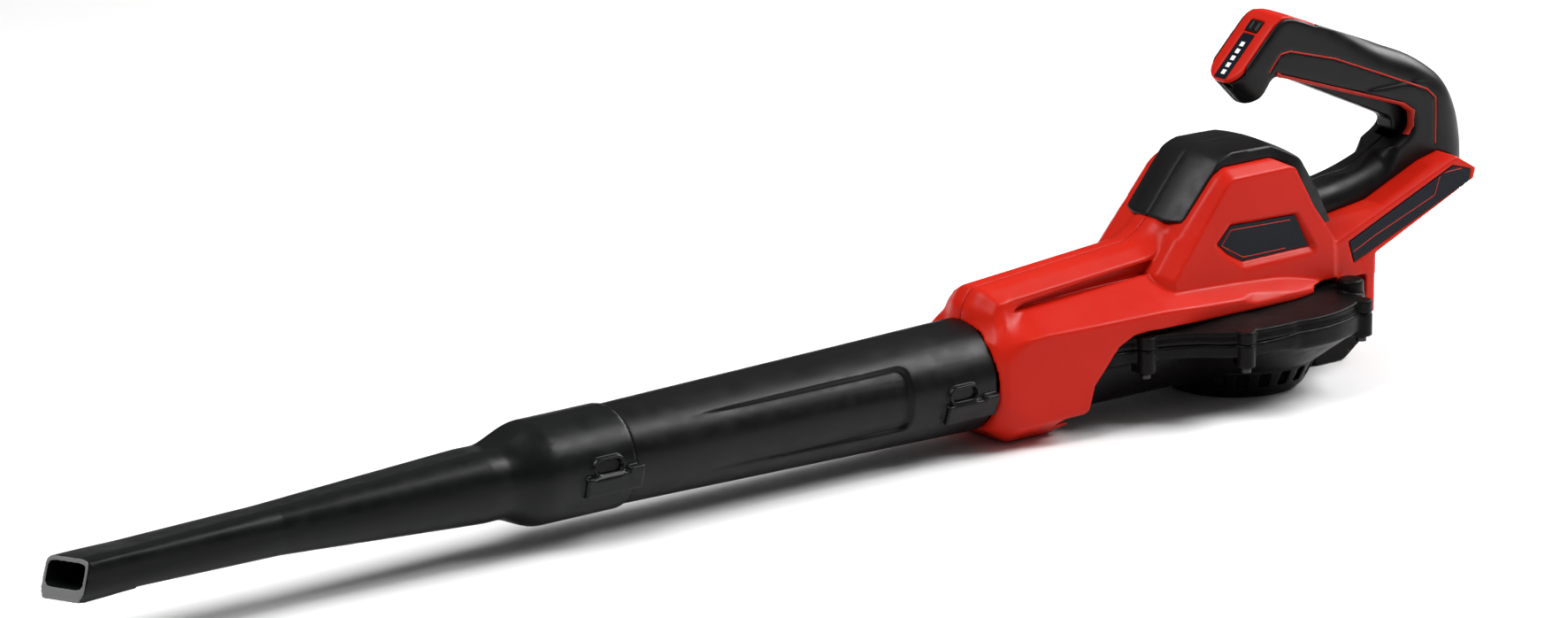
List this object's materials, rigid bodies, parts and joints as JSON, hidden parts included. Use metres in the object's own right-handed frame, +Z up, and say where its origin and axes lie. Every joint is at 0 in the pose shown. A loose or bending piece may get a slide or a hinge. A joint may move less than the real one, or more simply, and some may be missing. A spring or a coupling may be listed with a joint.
{
  "type": "cordless leaf blower",
  "caption": "Hand-held cordless leaf blower: motor tower over a round fan casing, C-shaped grip, straight tube and flat nozzle.",
  "frame": {"origin": "centre of the intake bowl's flat bottom, on the ground under the fan axis", "axes": "+Z up along the fan axis, -X along the tube towards the nozzle, -Y towards the left side of the tool"},
  "size_m": [1.157, 0.1786, 0.2475],
  "materials": {
    "red_shell": "satin moulded",
    "black_shell": "fine grain",
    "soft_grip": "soft touch",
    "navy_plate": "printed satin",
    "lamp_white": "diffuser",
    "board_green": "solder mask",
    "black_key": "fine grain",
    "grey_rubber": "silicone",
    "steel": "ground",
    "switch_grey": "moulded",
    "fan_casing": "satin moulded",
    "screw_steel": "zinc",
    "cast_aluminium": "cast",
    "copper": "enamelled",
    "magnet_grey": "plated",
    "impeller_grey": "glass filled",
    "tube_black": "satin moulded",
    "nozzle_black": "speckled satin",
    "wire_red": "sleeved"
  },
  "bodies": {
    "housing": {"housing_left": "red_shell", "housing_right": "red_shell", "motor_cap": "black_shell", "grip_left": "soft_grip", "grip_right": "soft_grip", "panel_bezel": "red_shell", "panel_window": "navy_plate", "panel_lamps": "lamp_white", "panel_board": "board_green", "speed_button_spring": "grey_rubber", "trigger_pin": "steel", "trigger_switch": "switch_grey", "trigger_spring": "steel", "volute_upper": "fan_casing", "volute_lower": "fan_casing", "intake_bowl": "fan_casing", "outlet_duct": "black_shell", "volute_screws": "screw_steel", "housing_screws": "screw_steel", "motor_mount": "cast_aluminium", "motor_mount_screws": "screw_steel", "motor_stator": "steel", "motor_windings": "copper", "bearing_lower": "steel", "bearing_upper": "steel", "controller_board": "board_green", "controller_heat_sink": "cast_aluminium", "battery_rails": "black_shell", "terminal_block": "switch_grey", "terminal_blades": "copper", "badge_left": "navy_plate", "badge_right": "navy_plate", "shelf_trim_left": "navy_plate", "shelf_trim_right": "navy_plate", "power_wires": "wire_red", "motor_wires": "wire_red"},
    "rotor": {"rotor_can": "screw_steel", "rotor_magnets": "magnet_grey", "rotor_shaft": "steel", "impeller": "impeller_grey", "impeller_nut": "copper"},
    "lever": {"trigger": "black_key"},
    "panel_key": {"speed_button": "black_key"},
    "tube": {"blower_tube": "tube_black"},
    "tube_key": {"tube_button": "black_key"},
    "spout": {"nozzle": "nozzle_black"},
    "spout_key": {"nozzle_button": "black_key"}
  },
  "joints": [
    {"name": "rotor_spin", "type": "hinge", "parent": "housing", "child": "rotor", "pos_m": [0, 0, 0.09], "axis": [0, 0, 1], "continuous": true},
    {"name": "trigger_press", "type": "hinge", "parent": "housing", "child": "lever", "pos_m": [0.046, 0, 0.205], "axis": [0, -1, 0], "range_deg": [0, 5], "stiffness_Nm_per_rad": 1.2, "springref_deg": -5.73, "deforming": ["trigger_spring"]},
    {"name": "panel_key_press", "type": "slide", "parent": "housing", "child": "panel_key", "axis": [0.7071, 0, -0.7071], "range_m": [0, 0.0012], "stiffness_N_per_m": 800, "springref_m": -0.002, "deforming": ["speed_button_spring"]},
    {"name": "tube_pull", "type": "slide", "parent": "housing", "child": "tube", "axis": [-1, 0, 0], "range_m": [0, 0.05]},
    {"name": "tube_key_press", "type": "slide", "parent": "tube", "child": "tube_key", "axis": [0, 1, 0], "range_m": [0, 0.0016], "stiffness_N_per_m": 900, "springref_m": -0.002},
    {"name": "spout_pull", "type": "slide", "parent": "tube", "child": "spout", "axis": [-1, 0, 0], "range_m": [0, 0.048]},
    {"name": "spout_key_press", "type": "slide", "parent": "spout", "child": "spout_key", "axis": [0, 0.9903, -0.1392], "range_m": [0, 0.0016], "stiffness_N_per_m": 900, "springref_m": -0.002}
  ]
}
